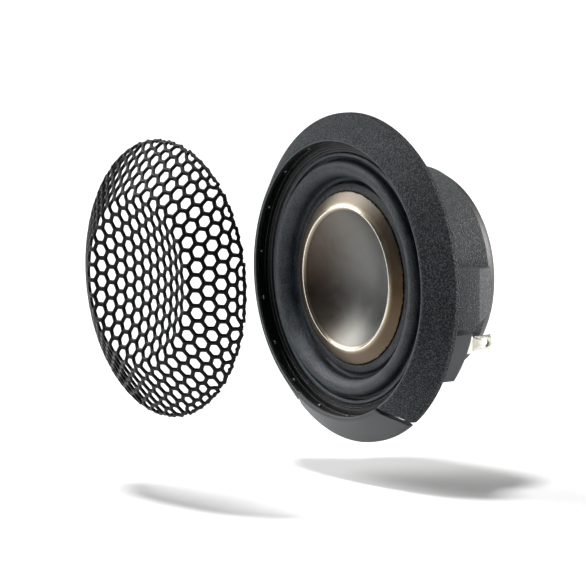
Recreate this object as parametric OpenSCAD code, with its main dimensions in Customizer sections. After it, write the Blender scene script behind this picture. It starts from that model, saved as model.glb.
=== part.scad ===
// Flush-mount car tweeter with an inverted-dome diaphragm, a flared trim ring and a pull-off
// mesh grille. Front is -Y, rear is +Y, up is +Z. The origin is the centre of the face of the
// trim ring that seats on the panel. All lengths are in millimetres.

/* [Trim ring] */
// radius of the flared trim ring at the panel
bezel_r = 29.1; // [28.6:0.1:31]
// thickness of the trim ring at its outer edge
bezel_land = 1.0; // [0.6:0.1:1.6]
// how far the lip of the trim ring stands in front of the panel
bezel_front = 4.94; // [4.6:0.02:5.4]
// radius of the top of the lip, where the flare ends
lip_r = 24.9; // [24.8:0.05:25.4]
// inner radius of the lip
lip_in_r = 24.3; // [24.25:0.01:24.35]
// sideways step that opens the slanting slot at each end of the name key
key_gap = 1.2; // [0.8:0.1:1.6]

/* [Grille] */
// radius of the cut edge of the grille
grille_r = 23.85; // [23.5:0.05:23.85]
// radius of the fold between the sloping wall and the dished centre
grille_fold_r = 14.5; // [13:0.1:16]
// height of the fold in front of the cut edge
grille_h = 6.1; // [5:0.1:7]
// depth of the dish in the centre of the grille
grille_dish = 2.3; // [1.6:0.1:3]
// thickness of the expanded metal
grille_t = 0.6; // [0.4:0.05:0.7]
// distance between neighbouring cells of the mesh
mesh_pitch = 2.7; // [2.4:0.05:3.4]
// width of one strand of the mesh
mesh_strand = 0.6; // [0.4:0.05:0.7]
// how far in front of its seat the grille is held off
grille_off = 38.4; // [20:0.2:60]
// how far above the axis the grille is held while it is off
grille_lift = 3.1; // [0:0.1:4]

/* [Diaphragm] */
// outer radius of the metal diaphragm
dome_r = 15.35; // [15.2:0.05:15.5]
// radius of the crest over the voice coil
crest_r = 12.8; // [12.7:0.05:12.9]
// how far the crest stands in front of the panel
crest_front = 3.06; // [2.9:0.02:3.3]
// distance from the crest back to the centre of the bowl
bowl_depth = 4.16; // [3.4:0.02:4.3]
// thickness of the diaphragm
dome_t = 0.3; // [0.2:0.05:0.4]

/* [Surround] */
// inner radius of the half roll
roll_in_r = 17.8; // [17.7:0.05:18]
// outer radius of the half roll
roll_out_r = 20.8; // [20.6:0.05:20.85]
// thickness of the rubber
rubber_t = 0.35; // [0.25:0.05:0.45]

/* [Rear body] */
// outer radius of the barrel
barrel_r = 18.8; // [18.6:0.1:19.6]
// distance from the panel to the end of the barrel
barrel_end = 14.4; // [14.2:0.1:15]
// distance from the panel to the back of the rear cover
cover_end = 17.2; // [17:0.1:18.4]
// radius of the spigot that drops through the hole in the panel
spigot_r = 24.4; // [24.1:0.05:24.5]
// half the width over the two side lugs
lug_x = 21.4; // [21:0.1:22.2]

/* [Motor] */
// outer radius of the steel pot
pot_r = 16.2; // [16:0.05:16.2]
// inner radius of the steel pot
gap_out_r = 13.7; // [13.65:0.05:13.9]
// radius of the pole plate
pole_r = 12.2; // [12:0.05:12.25]
// radius of the magnet
magnet_r = 11.2; // [9:0.1:11.8]

/* [Terminals] */
// height of the terminal blade
blade_w = 2.6; // [2.3:0.1:2.8]
// distance of each blade from the middle plane
blade_x = 17.0; // [16.9:0.05:17.1]
// distance from the panel to the tip of each blade
blade_tip = 16.6; // [15.6:0.1:18]

/* [Hidden] */
$fn = 96;
// radii and depths of the recess behind the lip
wall_r = 24.25;
wall_out_r = 24.5;
pocket_r = 24.6;
// hollow behind the flare, and where the skirt leaves the ring
hollow_in_r = 25.7;
hollow_out_r = 27.6;
skirt_y = -0.3;
// twist-lock skirt: its radii, where its wall gets thicker, its end and its two angles
skirt_root_r = 24.7;
skirt_out_r = 25.2;
skirt_in_r = 23.4;
skirt_step_y = 3.2;
skirt_end = 6.9;
skirt_from = 18.5;
skirt_to = 42;
// depth of the seat in the recess, and the rear of the lip
seat_y = -2.9;
lip_back = -4.4;
// depth of the grille fold when the grille is held off
grille_seat_y = seat_y - 0.05;
fold_y = grille_seat_y - grille_h - grille_off;
rim_y = grille_seat_y - grille_off;
// sphere of the grille dish, through the fold and the centre
dish_R = (grille_fold_r * grille_fold_r + grille_dish * grille_dish) / (2 * grille_dish);
// sphere of the diaphragm bowl, through the crest and the centre
bowl_r = crest_r - 0.2;
bowl_R = (bowl_r * bowl_r + bowl_depth * bowl_depth) / (2 * bowl_depth);
bowl_y = bowl_depth - crest_front - bowl_R;
bowl_edge = 90 - asin(bowl_r / bowl_R);
// half roll as an arc that bulges forward
roll_mid = (roll_in_r + roll_out_r) / 2;
roll_half = (roll_out_r - roll_in_r) / 2;
roll_in_y = -1.6;
roll_out_y = -2.5;
roll_rise = 1.75;
flange_y = -2.05;
chassis_y = -1.7;
// front and back of the pole plate, floor and back of the pot
pole_y = 2.5;
pole_back_y = 4.6;
pot_floor_y = 8.6;
pot_back_y = 11.0;
// terminal board on the back of the flange, and the rivet that holds each terminal to it
flange_back = 3.0;
board_y = flange_back + 0.05;
board_t = 1.2;
foot_y = board_y + board_t;
foot_t = 0.5;
rivet_x = 15.5;
rivet_z = -13.6;
rivet_r = 0.7;
rivet_hole_r = 0.75;
rivet_head_r = 1.05;
rivet_head_t = 0.35;
lead_hole_r = 0.9;
dome_edge_y = -1.42;
former_r = 12.7;
former_t = 0.15;
coil_t = 0.45;
// square root of three, for the six-sided cells of the mesh
root_3 = 1.732;

// turns a profile drawn as [radius, depth] about the Y axis
module ring(points) {
  rotate([-90, 0, 0])
    rotate_extrude()
      polygon(points);
}

// a straight cylinder along Y from y0 to y1
module drum(r, y0, y1) {
  translate([0, y0, 0])
    rotate([-90, 0, 0])
      cylinder(r = r, h = y1 - y0);
}

// a flat shape drawn as [x, z], carried along Y from y0 to y1
module slab(y0, y1) {
  translate([0, y1, 0])
    rotate([90, 0, 0])
      linear_extrude(y1 - y0)
        children();
}

// a box given by its two opposite corners
module block(a, b) {
  translate(a)
    cube(b - a);
}

// a round rod along Y away from the axis
module rod(x, z, r, y0, y1) {
  translate([x, y0, z])
    rotate([-90, 0, 0])
      cylinder(r = r, h = y1 - y0, $fn = 32);
}

// places a copy on each side of the middle plane
module both_sides() {
  children();
  mirror([1, 0, 0])
    children();
}

// points on a circle of radius r about [cr, cy] from angle a0 to a1, in [radius, depth]
function arc(cr, cy, r, a0, a1, n) =
  [for (i = [0:n]) [cr + r * cos(a0 + (a1 - a0) * i / n), cy + r * sin(a0 + (a1 - a0) * i / n)]];

// half roll between its two feet, offset outwards by d
function roll(d, n) =
  [for (i = [0:n])
    let (a = 180 * i / n, t = (1 - cos(a)) / 2)
      [roll_mid - (roll_half + d) * cos(a),
       roll_in_y + (roll_out_y - roll_in_y) * t - (roll_rise + d) * sin(a)]];

function reversed(v) = [for (i = [len(v) - 1:-1:0]) v[i]];

// sector at the bottom of the trim ring that holds the name key, widened by g
module key_sector(g) {
  polygon([[-5.6 - g, -19.3], [5.6 + g, -19.3], [10.7 + g, -21.8], [22 + g, -27.34],
    [22 + g, -36], [-22 - g, -36], [-22 - g, -27.34], [-10.7 - g, -21.8]]);
}

// full ring of the trim, hollow behind the flare, with its rear edge on the panel
module trim_body() {
  ring([[lip_in_r, lip_back], [lip_in_r, -bezel_front + 0.3], [lip_in_r + 0.12, -bezel_front + 0.08],
    [lip_in_r + 0.3, -bezel_front], [lip_r - 0.1, -bezel_front], [lip_r + 0.12, -bezel_front + 0.12],
    [bezel_r - 0.15, -bezel_land], [bezel_r, -bezel_land + 0.2], [bezel_r, -0.15],
    [bezel_r - 0.15, 0], [hollow_out_r, 0], [hollow_out_r, -0.9], [hollow_in_r, -2.4],
    [hollow_in_r, skirt_y], [pocket_r, skirt_y], [pocket_r, lip_back]]);
}

module bezel_ring() {
  color([0.16, 0.16, 0.17])
    difference() {
      trim_body();
      slab(-bezel_front - 1, 1)
        key_sector(key_gap);
    }
}

module name_key() {
  color([0.24, 0.25, 0.26])
    intersection() {
      trim_body();
      slab(-bezel_front - 1, 1)
        key_sector(0);
    }
}

// wedge of the twist-lock skirt, between angles a0 and a1 below the X axis
module skirt_wedge(a0, a1) {
  reach = 40;
  mid = (a0 + a1) / 2;
  slab(skirt_y, skirt_end)
    polygon([[0, 0], [reach * cos(a0), -reach * sin(a0)], [reach * cos(mid), -reach * sin(mid)],
      [reach * cos(a1), -reach * sin(a1)]]);
}

module lock_skirt() {
  color([0.26, 0.27, 0.28])
    both_sides()
      intersection() {
        skirt_wedge(skirt_from, skirt_to);
        ring([[skirt_root_r, skirt_y], [skirt_out_r, skirt_y], [skirt_out_r, skirt_end - 0.3],
          [skirt_out_r - 0.3, skirt_end], [skirt_in_r, skirt_end], [skirt_in_r, skirt_step_y],
          [skirt_root_r, skirt_step_y]]);
      }
}

module grille_seat() {
  color([0.03, 0.03, 0.03]) {
    ring([[wall_r, -4.35], [wall_out_r, -4.35], [wall_out_r, -1.5], [22.4, -1.5], [22.2, -2.3],
      [22.7, -2.35], [22.75, -2.6], [23.1, -2.65], [23.15, seat_y], [wall_r, seat_y]]);
    for (k = [0:17])
      rotate([0, 14 + 20 * k, 0])
        intersection() {
          translate([wall_r + 0.2, -3.6, 0])
            sphere(r = 0.42, $fn = 24);
          block([wall_r - 1, -5, -1], [wall_r + 0.15, -2, 1]);
        }
  }
}

module clamp_ring() {
  color([0.1, 0.1, 0.11])
    ring([[21.6, flange_y], [21.6, -2.4], [21.72, -2.52], [22.0, -2.52], [22.12, -2.4], [22.12, flange_y]]);
}

module surround() {
  color([0.2, 0.21, 0.23])
    ring(concat(
      [[dome_r + 0.03, -1.35], [17.3, -1.35], [17.45, -1.35]],
      roll(0, 20),
      [[21.0, flange_y], [22.12, flange_y], [22.12, chassis_y], [roll_out_r - 0.2, chassis_y]],
      reversed(roll(-rubber_t, 20)),
      [[17.3, -1.0], [dome_r + 0.03, -1.0]]));
}

module dome() {
  color([0.62, 0.6, 0.55])
    ring(concat(
      [[dome_r, dome_edge_y], [crest_r + 0.25, -crest_front + 0.05], [crest_r, -crest_front]],
      reversed(arc(0, bowl_y, bowl_R, 90, bowl_edge, 14)),
      arc(0, bowl_y, bowl_R + dome_t, 90, bowl_edge, 14),
      [[crest_r, -crest_front + dome_t + 0.06], [crest_r + 0.2, -crest_front + dome_t + 0.1],
        [dome_r, dome_edge_y + dome_t + 0.05]]));
}

module coil_former() {
  color([0.75, 0.6, 0.3])
    difference() {
      drum(former_r + former_t, -2.69, 5.4);
      drum(former_r, -3, 6);
    }
}

module voice_coil() {
  color([0.72, 0.4, 0.2])
    difference() {
      drum(former_r + former_t + coil_t, 2.3, 4.7);
      drum(former_r + former_t, 2, 5);
    }
}

// hole for one lead wire on each side, right through the flange
module lead_holes() {
  both_sides()
    rod(rivet_x, rivet_z, lead_hole_r, -0.02, 4);
}

module chassis() {
  color([0.2, 0.2, 0.21])
    difference() {
      ring([[20.95, chassis_y], [22.15, chassis_y], [22.15, -1.45], [spigot_r - 0.1, -1.45],
        [spigot_r - 0.1, -0.05], [21.8, -0.05], [21.8, 1.45], [17.3, 1.45], [17.3, 8.5],
        [pot_r + 0.05, 8.5], [pot_r + 0.05, 0.5], [20.95, 0.5]]);
      lead_holes();
    }
}

// outline of one side lug seen from the side, as [y, z]
module lug_outline() {
  polygon([[3, 3.3], [14.4, 2.6], [14.8, -5.1], [9.3, -7.15], [3, -7.15]]);
}

// block on each side of the barrel, with a flat face and a rear corner cut away
module side_lugs() {
  cut_y = 10.3;
  cut_x = 19;
  both_sides()
    difference() {
      intersection() {
        rotate([90, 0, 90])
          linear_extrude(lug_x)
            lug_outline();
        slab(2, 15)
          polygon([[16, -9], [lug_x, -9], [lug_x, 5], [16, 5]]);
        translate([0, 0, -20])
          linear_extrude(40)
            polygon([[0, 2.9], [lug_x, 2.9], [lug_x, cut_y], [cut_x, barrel_end], [0, barrel_end]]);
      }
      drum(barrel_r - 0.4, 0, 20);
    }
}

module rear_housing() {
  color([0.22, 0.23, 0.24])
    union() {
      difference() {
        ring([[21.85, 0], [spigot_r, 0], [spigot_r, flange_back], [barrel_r, flange_back],
          [barrel_r, barrel_end], [barrel_r - 0.15, barrel_end], [17.5, barrel_end], [17.5, 1.5],
          [21.85, 1.5]]);
        lead_holes();
      }
      side_lugs();
    }
}

module pole_plate() {
  color([0.45, 0.45, 0.46])
    drum(pole_r, pole_y, pole_back_y);
}

module copper_cap() {
  color([0.72, 0.42, 0.25])
    ring([[0, pole_y - 0.15], [pole_r + 0.15, pole_y - 0.15], [pole_r + 0.15, pole_back_y],
      [pole_r, pole_back_y], [pole_r, pole_y], [0, pole_y]]);
}

module magnet() {
  color([0.55, 0.55, 0.56])
    drum(magnet_r, pole_back_y, pot_floor_y);
}

module pot_yoke() {
  color([0.4, 0.4, 0.41])
    ring([[gap_out_r, 2.4], [pot_r, 2.4], [pot_r, pot_back_y - 0.5], [pot_r - 0.5, pot_back_y],
      [0, pot_back_y], [0, pot_floor_y], [gap_out_r, pot_floor_y]]);
}

module damping_pad() {
  color([0.8, 0.8, 0.76])
    drum(7.6, pot_back_y + 0.05, 15.6);
}

module rear_cover() {
  color([0.13, 0.11, 0.1])
    ring([[18.6, barrel_end], [18.3, 15.2], [17.85, 16.0], [17.2, 16.75], [16.4, cover_end],
      [0, cover_end], [0, cover_end - 1.2], [15.9, cover_end - 1.2], [16.8, 15.2], [16.8, 13.6],
      [17.4, 13.6], [17.4, barrel_end]]);
}

// crescent of laminate on the back of the flange, under the barrel
module terminal_board() {
  reach = 40;
  color([0.5, 0.36, 0.16])
    difference() {
      slab(board_y, foot_y)
        difference() {
          intersection() {
            circle(r = 23.1);
            polygon([[0, 0], [reach, -0.5 * reach], [reach, -reach], [-reach, -reach],
              [-reach, -0.5 * reach]]);
          }
          circle(r = barrel_r + 0.15);
        }
      both_sides()
        rod(rivet_x, rivet_z, rivet_hole_r, 2, 6);
    }
}

// one terminal: a foot on the board, a taller root and the blade with its hole
module terminal() {
  half_t = foot_t / 2;
  top_z = -9.55;
  difference() {
    union() {
      difference() {
        block([14.4, foot_y, -14.8], [blade_x + half_t, foot_y + foot_t, -12.4]);
        rod(rivet_x, rivet_z, rivet_hole_r, 2, 8);
      }
      block([blade_x - half_t, foot_y, -14.8], [blade_x + half_t, 6.0, top_z]);
      block([blade_x - half_t, foot_y, top_z - 0.45 - blade_w], [blade_x + half_t, 12.4, top_z]);
      block([blade_x - half_t, 12, top_z - blade_w], [blade_x + half_t, blade_tip - 0.5, top_z]);
      block([blade_x - half_t, 12, top_z + 0.4 - blade_w], [blade_x + half_t, blade_tip, top_z - 0.4]);
    }
    translate([blade_x - 1, blade_tip - 1.7, top_z - blade_w / 2])
      rotate([0, 90, 0])
        cylinder(r = 0.6, h = 2, $fn = 32);
  }
}

module terminal_positive() {
  color([0.82, 0.8, 0.74])
    terminal();
}

module terminal_negative() {
  color([0.82, 0.8, 0.74])
    mirror([1, 0, 0])
      terminal();
}

module terminal_rivets() {
  head_y = foot_y + foot_t;
  color([0.75, 0.73, 0.68])
    both_sides() {
      rod(rivet_x, rivet_z, rivet_r, board_y, head_y);
      rod(rivet_x, rivet_z, rivet_head_r, head_y, head_y + rivet_head_t);
    }
}

// flexible lead from the rivet, through the flange and in towards the coil former
module lead() {
  wire_r = 0.25;
  wire_y = 0.1;
  rod(rivet_x, rivet_z, wire_r, wire_y - 0.1, board_y);
  translate([rivet_x, wire_y, rivet_z])
    rotate([0, 180 - atan2(rivet_z, rivet_x), 0])
      rotate([0, 90, 0])
        cylinder(r = wire_r, h = 7.35, $fn = 24);
}

module lead_positive() {
  color([0.8, 0.45, 0.25])
    lead();
}

module lead_negative() {
  color([0.8, 0.45, 0.25])
    mirror([1, 0, 0])
      lead();
}

// flat honeycomb of strands, as wide as the grille
module mesh_plan() {
  col = mesh_pitch * root_3 / 2;
  n = ceil(grille_r / col) + 1;
  m = ceil(grille_r / mesh_pitch) + 1;
  hole_r = (mesh_pitch - mesh_strand) / root_3;
  difference() {
    circle(r = grille_r);
    for (i = [-n:n])
      for (j = [-m:m])
        translate([i * col, (j + (i % 2 == 0 ? 0 : 0.5)) * mesh_pitch])
          circle(r = hole_r, $fn = 6);
  }
}

// pressed shell that the mesh follows: a sloping wall and a dished centre
module mesh_shell() {
  union() {
    ring([[grille_fold_r - 0.3, fold_y], [grille_fold_r, fold_y], [grille_r, rim_y - grille_t],
      [grille_r, rim_y], [grille_fold_r - 0.3, fold_y + grille_t]]);
    intersection() {
      drum(grille_fold_r - 0.2, fold_y - 1, fold_y + 6);
      difference() {
        translate([0, fold_y + grille_dish - dish_R, 0])
          sphere(r = dish_R + grille_t / 2);
        translate([0, fold_y + grille_dish - dish_R, 0])
          sphere(r = dish_R - grille_t / 2);
      }
    }
  }
}

module grille_mesh() {
  color([0.06, 0.06, 0.06])
    translate([0, 0, grille_lift])
      intersection() {
        mesh_shell();
        slab(fold_y - 2, rim_y + 1)
          mesh_plan();
      }
}

bezel_ring();
name_key();
lock_skirt();
grille_seat();
clamp_ring();
surround();
dome();
coil_former();
voice_coil();
chassis();
rear_housing();
pole_plate();
copper_cap();
magnet();
pot_yoke();
damping_pad();
rear_cover();
terminal_board();
terminal_positive();
terminal_negative();
terminal_rivets();
lead_positive();
lead_negative();
grille_mesh();
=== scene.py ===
# %% [markdown]
# # A car tweeter, finished in Blender
# The driver was first drawn as solids, one for every separate piece. Here those solids are loaded
# as a fixed frame, and the pieces that the eye sees get finer surfaces and worked-out materials.
# The front of the tweeter faces -Y, +Z is up, and the origin is the centre of the trim ring.

# %% Load the frame
import math

import bmesh
import bpy
import numpy as np
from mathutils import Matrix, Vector


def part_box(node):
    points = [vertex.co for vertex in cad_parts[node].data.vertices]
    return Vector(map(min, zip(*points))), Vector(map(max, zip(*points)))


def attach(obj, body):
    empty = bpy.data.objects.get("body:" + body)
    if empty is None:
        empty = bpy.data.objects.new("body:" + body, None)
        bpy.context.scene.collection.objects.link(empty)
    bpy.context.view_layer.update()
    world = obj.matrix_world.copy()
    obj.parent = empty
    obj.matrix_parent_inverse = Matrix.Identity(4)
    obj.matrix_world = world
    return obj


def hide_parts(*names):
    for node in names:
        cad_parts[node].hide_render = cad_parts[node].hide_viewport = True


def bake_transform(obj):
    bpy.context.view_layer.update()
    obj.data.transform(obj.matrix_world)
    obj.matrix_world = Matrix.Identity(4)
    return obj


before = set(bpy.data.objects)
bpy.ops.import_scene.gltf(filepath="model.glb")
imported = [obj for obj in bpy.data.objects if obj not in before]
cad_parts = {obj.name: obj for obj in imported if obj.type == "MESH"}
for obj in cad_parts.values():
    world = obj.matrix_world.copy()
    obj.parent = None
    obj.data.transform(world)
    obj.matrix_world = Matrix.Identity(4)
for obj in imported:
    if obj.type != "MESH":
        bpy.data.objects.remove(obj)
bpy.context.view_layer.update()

MM = 0.001

# %% [markdown]
# ## Camera
# The tweeter is seen from far away through a long lens, so circles stay clean ellipses. The
# camera stands in front and to the right, a little above the axis. Its place follows from an
# azimuth, an elevation and a distance, and the point it looks at is given across and up.

# %% Camera
AZIMUTH, ELEVATION = math.radians(53.85), math.radians(7.7)
DISTANCE, LENS = 1.16, 405.0
ACROSS, UP = -11.65 * MM, -2.78 * MM

toward = np.array([
    math.sin(AZIMUTH) * math.cos(ELEVATION),
    -math.cos(AZIMUTH) * math.cos(ELEVATION),
    math.sin(ELEVATION),
])
right = np.array([math.cos(AZIMUTH), math.sin(AZIMUTH), 0.0])
upward = np.cross(toward, right)
aim = ACROSS * right + UP * upward

camera_data = bpy.data.cameras.new("camera")
camera_data.lens, camera_data.sensor_width = LENS, 36.0
camera_data.clip_start, camera_data.clip_end = 0.05, 60.0
camera = bpy.data.objects.new("camera", camera_data)
bpy.context.scene.collection.objects.link(camera)
camera.location = aim + DISTANCE * toward
camera.rotation_euler = (math.pi / 2 - ELEVATION, 0.0, AZIMUTH)
bpy.context.scene.camera = camera
print("camera at", np.round(camera.location, 3).tolist())

# %% [markdown]
# ## Turning numbers into meshes
# Every surface below is a grid of points worked out with numpy. One helper joins a grid into
# quads, closes it round one or both ways, and welds the points that fall together, such as the
# poles on the axis.

# %% Grid to mesh


def grid_faces(rows, columns, close_rows=False, close_columns=False, start=0):
    """Quads of a grid: each joins a point to its neighbours in the next row and column."""
    i = np.arange(rows if close_rows else rows - 1)[:, None]
    j = np.arange(columns if close_columns else columns - 1)[None, :]
    ni, nj = (i + 1) % rows, (j + 1) % columns
    corners = [i * columns + j, ni * columns + j, ni * columns + nj, i * columns + nj]
    return start + np.stack([np.broadcast_to(c, (i.size, j.size)) for c in corners], -1).reshape(-1, 4)


def weld(mesh, distance=2e-6):
    """Merge points that fall together and drop faces with no area."""
    bm = bmesh.new()
    bm.from_mesh(mesh)
    bmesh.ops.remove_doubles(bm, verts=bm.verts, dist=distance)
    bmesh.ops.dissolve_degenerate(bm, edges=bm.edges, dist=distance / 2)
    bm.to_mesh(mesh)
    bm.free()


def piece(name, points, faces, body="tweeter", slot=None, replaces=()):
    """A mesh object from points in mm and faces, riding on a body of the frame."""
    mesh = bpy.data.meshes.new(name)
    metres = np.asarray(points, float).reshape(-1, 3) * MM
    mesh.from_pydata(metres, [], [list(map(int, face)) for face in faces])
    weld(mesh)
    mesh.polygons.foreach_set("use_smooth", np.full(len(mesh.polygons), True))
    obj = bpy.data.objects.new(name, mesh)
    bpy.context.scene.collection.objects.link(obj)
    if body:
        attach(obj, body)
    if replaces:
        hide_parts(*replaces)
    print(f"{name}: {len(mesh.vertices)} points, {len(mesh.polygons)} faces")
    return obj


# %% [markdown]
# ## Profiles
# Most of the driver is turned: a profile of radius and depth is carried round the Y axis.
# Moulded edges are never sharp, so each corner of a profile is cut back and bridged with a
# short curve. Extra points beside each curve keep the flats between them evenly shaded.

# %% Profiles


def arc_profile(centre, radius, start, end, count):
    """Points on a circle: centre plus radius times the cosine and sine of an even run of angles."""
    a = np.radians(np.linspace(start, end, count))
    return np.stack([centre[0] + radius * np.cos(a), centre[1] + radius * np.sin(a)], -1)


def soften(corners, fillet, closed=True, steps=4):
    """Each corner is replaced by the quadratic curve that starts and ends a fillet length away
    from it, and each straight part gets a point just beside the curve."""
    p = np.asarray(corners, float)
    f = np.broadcast_to(np.asarray(fillet, float), (len(p),))
    before, after = np.roll(p, 1, 0) - p, np.roll(p, -1, 0) - p
    lb, la = np.linalg.norm(before, axis=1), np.linalg.norm(after, axis=1)
    cut = np.minimum(f, 0.45 * np.minimum(lb, la))[:, None]
    a, b = p + before / lb[:, None] * cut, p + after / la[:, None] * cut
    t = np.linspace(0, 1, steps + 1)[None, :, None]
    curve = (1 - t) ** 2 * a[:, None] + 2 * t * (1 - t) * p[:, None] + t * t * b[:, None]
    lead = a + before / lb[:, None] * np.minimum(cut, 0.04 * lb[:, None])
    tail = b + after / la[:, None] * np.minimum(cut, 0.04 * la[:, None])
    run = np.concatenate([lead[:, None], curve, tail[:, None]], 1)
    if not closed:
        return np.concatenate([p[:1], run[1:-1].reshape(-1, 2), p[-1:]])
    return run.reshape(-1, 2)


def turned(profile, turns):
    """A profile point of radius r and depth y goes to (r cos a, y, r sin a) at each angle a."""
    profile = np.asarray(profile, float)
    a = np.radians(np.linspace(0.0, 360.0, turns, endpoint=False))[:, None]
    r, y = profile[None, :, 0], profile[None, :, 1]
    return np.stack([r * np.cos(a), y + 0 * a, r * np.sin(a)], -1)


def turned_piece(name, profile, closed=True, turns=256, **how):
    """Closed profiles give a ring; open ones run from pole to pole."""
    points = turned(profile, turns)
    faces = grid_faces(turns, len(profile), True, closed)
    obj = piece(name, points, faces, **how)
    face_outwards(obj)
    return obj


def face_outwards(obj):
    """Point every face of a closed shell away from its inside."""
    bm = bmesh.new()
    bm.from_mesh(obj.data)
    bmesh.ops.recalc_face_normals(bm, faces=bm.faces)
    bm.to_mesh(obj.data)
    bm.free()


# %% [markdown]
# ## Material helpers
# Each finish is a Principled shader fed by procedural textures on Object coordinates, so the
# grain stays the same real size on every piece. The helpers only save typing: one makes a
# noise, one a colour ramp between two tones, and one adds a bump.

# %% Material helpers


def new_material(name, rough=0.5, metal=0.0, **sockets):
    """A Principled material with plain numbers set on the shader's own sockets."""
    m = bpy.data.materials.new(name)
    m.use_nodes = True
    nodes, links = m.node_tree.nodes, m.node_tree.links
    shader = nodes["Principled BSDF"]
    shader.inputs["Roughness"].default_value = rough
    shader.inputs["Metallic"].default_value = metal
    for socket, value in sockets.items():
        shader.inputs[socket.replace("_", " ")].default_value = value
    place = nodes.new("ShaderNodeTexCoord").outputs["Object"]
    return m, nodes, links, shader, place


def noise(nodes, links, place, scale, detail=3.0, rough=0.5, distortion=0.0):
    """Cloudy noise between 0 and 1; scale counts its blobs in a metre."""
    n = nodes.new("ShaderNodeTexNoise")
    n.inputs["Scale"].default_value = scale
    n.inputs["Detail"].default_value = detail
    n.inputs["Roughness"].default_value = rough
    n.inputs["Distortion"].default_value = distortion
    links.new(place, n.inputs["Vector"])
    return n.outputs["Fac"]


def cells(nodes, links, place, scale, smooth=0.4):
    """Distance to the nearest of many scattered points, with the ridges between them eased."""
    n = nodes.new("ShaderNodeTexVoronoi")
    n.feature = "SMOOTH_F1"
    n.inputs["Scale"].default_value = scale
    n.inputs["Smoothness"].default_value = smooth
    links.new(place, n.inputs["Vector"])
    return n.outputs["Distance"]


def ramp(nodes, links, fac, stops):
    """Colours at positions, eased linearly between them."""
    n = nodes.new("ShaderNodeValToRGB")
    while len(n.color_ramp.elements) < len(stops):
        n.color_ramp.elements.new(0.5)
    for element, (at, colour) in zip(n.color_ramp.elements, stops):
        element.position = at
        element.color = (*colour, 1.0) if len(colour) == 3 else colour
    links.new(fac, n.inputs["Fac"])
    return n.outputs["Color"]


def maths(nodes, links, kind, a, b):
    """Two numbers or sockets put together by a sum of this kind."""
    n = nodes.new("ShaderNodeMath")
    n.operation = kind
    for socket, v in zip(n.inputs, (a, b)):
        if isinstance(v, (int, float)):
            socket.default_value = v
        else:
            links.new(v, socket)
    return n.outputs["Value"]


def spread(nodes, links, fac, low, high, out_low, out_high):
    """A value mapped in a straight line from one range to another, and held at its ends."""
    n = nodes.new("ShaderNodeMapRange")
    for key, v in (("From Min", low), ("From Max", high), ("To Min", out_low), ("To Max", out_high)):
        n.inputs[key].default_value = v
    links.new(fac, n.inputs["Value"])
    return n.outputs["Result"]


def bump(nodes, links, shader, height, strength, distance, under=None):
    """Shade the surface as if it rose with the height; a first bump can lie under it."""
    n = nodes.new("ShaderNodeBump")
    n.inputs["Strength"].default_value = strength
    n.inputs["Distance"].default_value = distance
    links.new(height, n.inputs["Height"])
    if under is not None:
        links.new(under, n.inputs["Normal"])
    links.new(n.outputs["Normal"], shader.inputs["Normal"])
    return n.outputs["Normal"]


def mixed(nodes, links, a, b, factor=1.0, kind="MULTIPLY"):
    """Two colours mixed by a factor. Each of the three is a number, a colour or a socket."""
    mix = nodes.new("ShaderNodeMix")
    mix.data_type, mix.blend_type = "RGBA", kind
    for socket, v in (("Factor", factor), ("A", a), ("B", b)):
        if isinstance(v, (float, tuple)):
            mix.inputs[socket].default_value = v
        else:
            links.new(v, mix.inputs[socket])
    return mix.outputs["Result"]


def radius_of(nodes, links, place):
    """Distance from the Y axis, in metres."""
    split = nodes.new("ShaderNodeSeparateXYZ")
    links.new(place, split.inputs["Vector"])
    flat = nodes.new("ShaderNodeCombineXYZ")
    links.new(split.outputs["X"], flat.inputs["X"])
    links.new(split.outputs["Z"], flat.inputs["Z"])
    size = nodes.new("ShaderNodeVectorMath")
    size.operation = "LENGTH"
    links.new(flat.outputs["Vector"], size.inputs[0])
    return size.outputs["Value"], split


def put_on(obj, material):
    """Make this the only material of an object."""
    obj.data.materials.clear()
    obj.data.materials.append(material)


# %% [markdown]
# ## Moulded plastics
# The trim ring has a coarse leather-like moulding grain: bright specks on near-black, because
# each small hill catches the light. It is a noise about a quarter of a millimetre across with
# a finer one over it, and the same noise sets colour, gloss and height. The barrel has a paler
# and softer grain of the same kind, the key and the skirt are smoother, and the seat is polished.

# %% Moulded plastics


def moulded(name, dark, light, rough, grain, depth, fine, fine_depth, **more):
    """Plastic whose colour, gloss and height all follow two sizes of grain."""
    m, nodes, links, shader, place = new_material(name, rough, **more)
    coarse = cells(nodes, links, place, grain)
    small = noise(nodes, links, place, fine, 4.0, 0.6)
    cloud = noise(nodes, links, place, 90.0, 3.0)
    tone = maths(nodes, links, "ADD", maths(nodes, links, "MULTIPLY", small, 0.55),
                 maths(nodes, links, "MULTIPLY", cloud, 0.45))
    links.new(ramp(nodes, links, tone, [(0.3, dark), (0.72, light)]), shader.inputs["Base Color"])
    links.new(spread(nodes, links, small, 0.3, 0.7, rough - 0.08, rough + 0.1), shader.inputs["Roughness"])
    first = bump(nodes, links, shader, coarse, depth, 0.0002)
    bump(nodes, links, shader, small, fine_depth, 0.0001, first)
    return m


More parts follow.
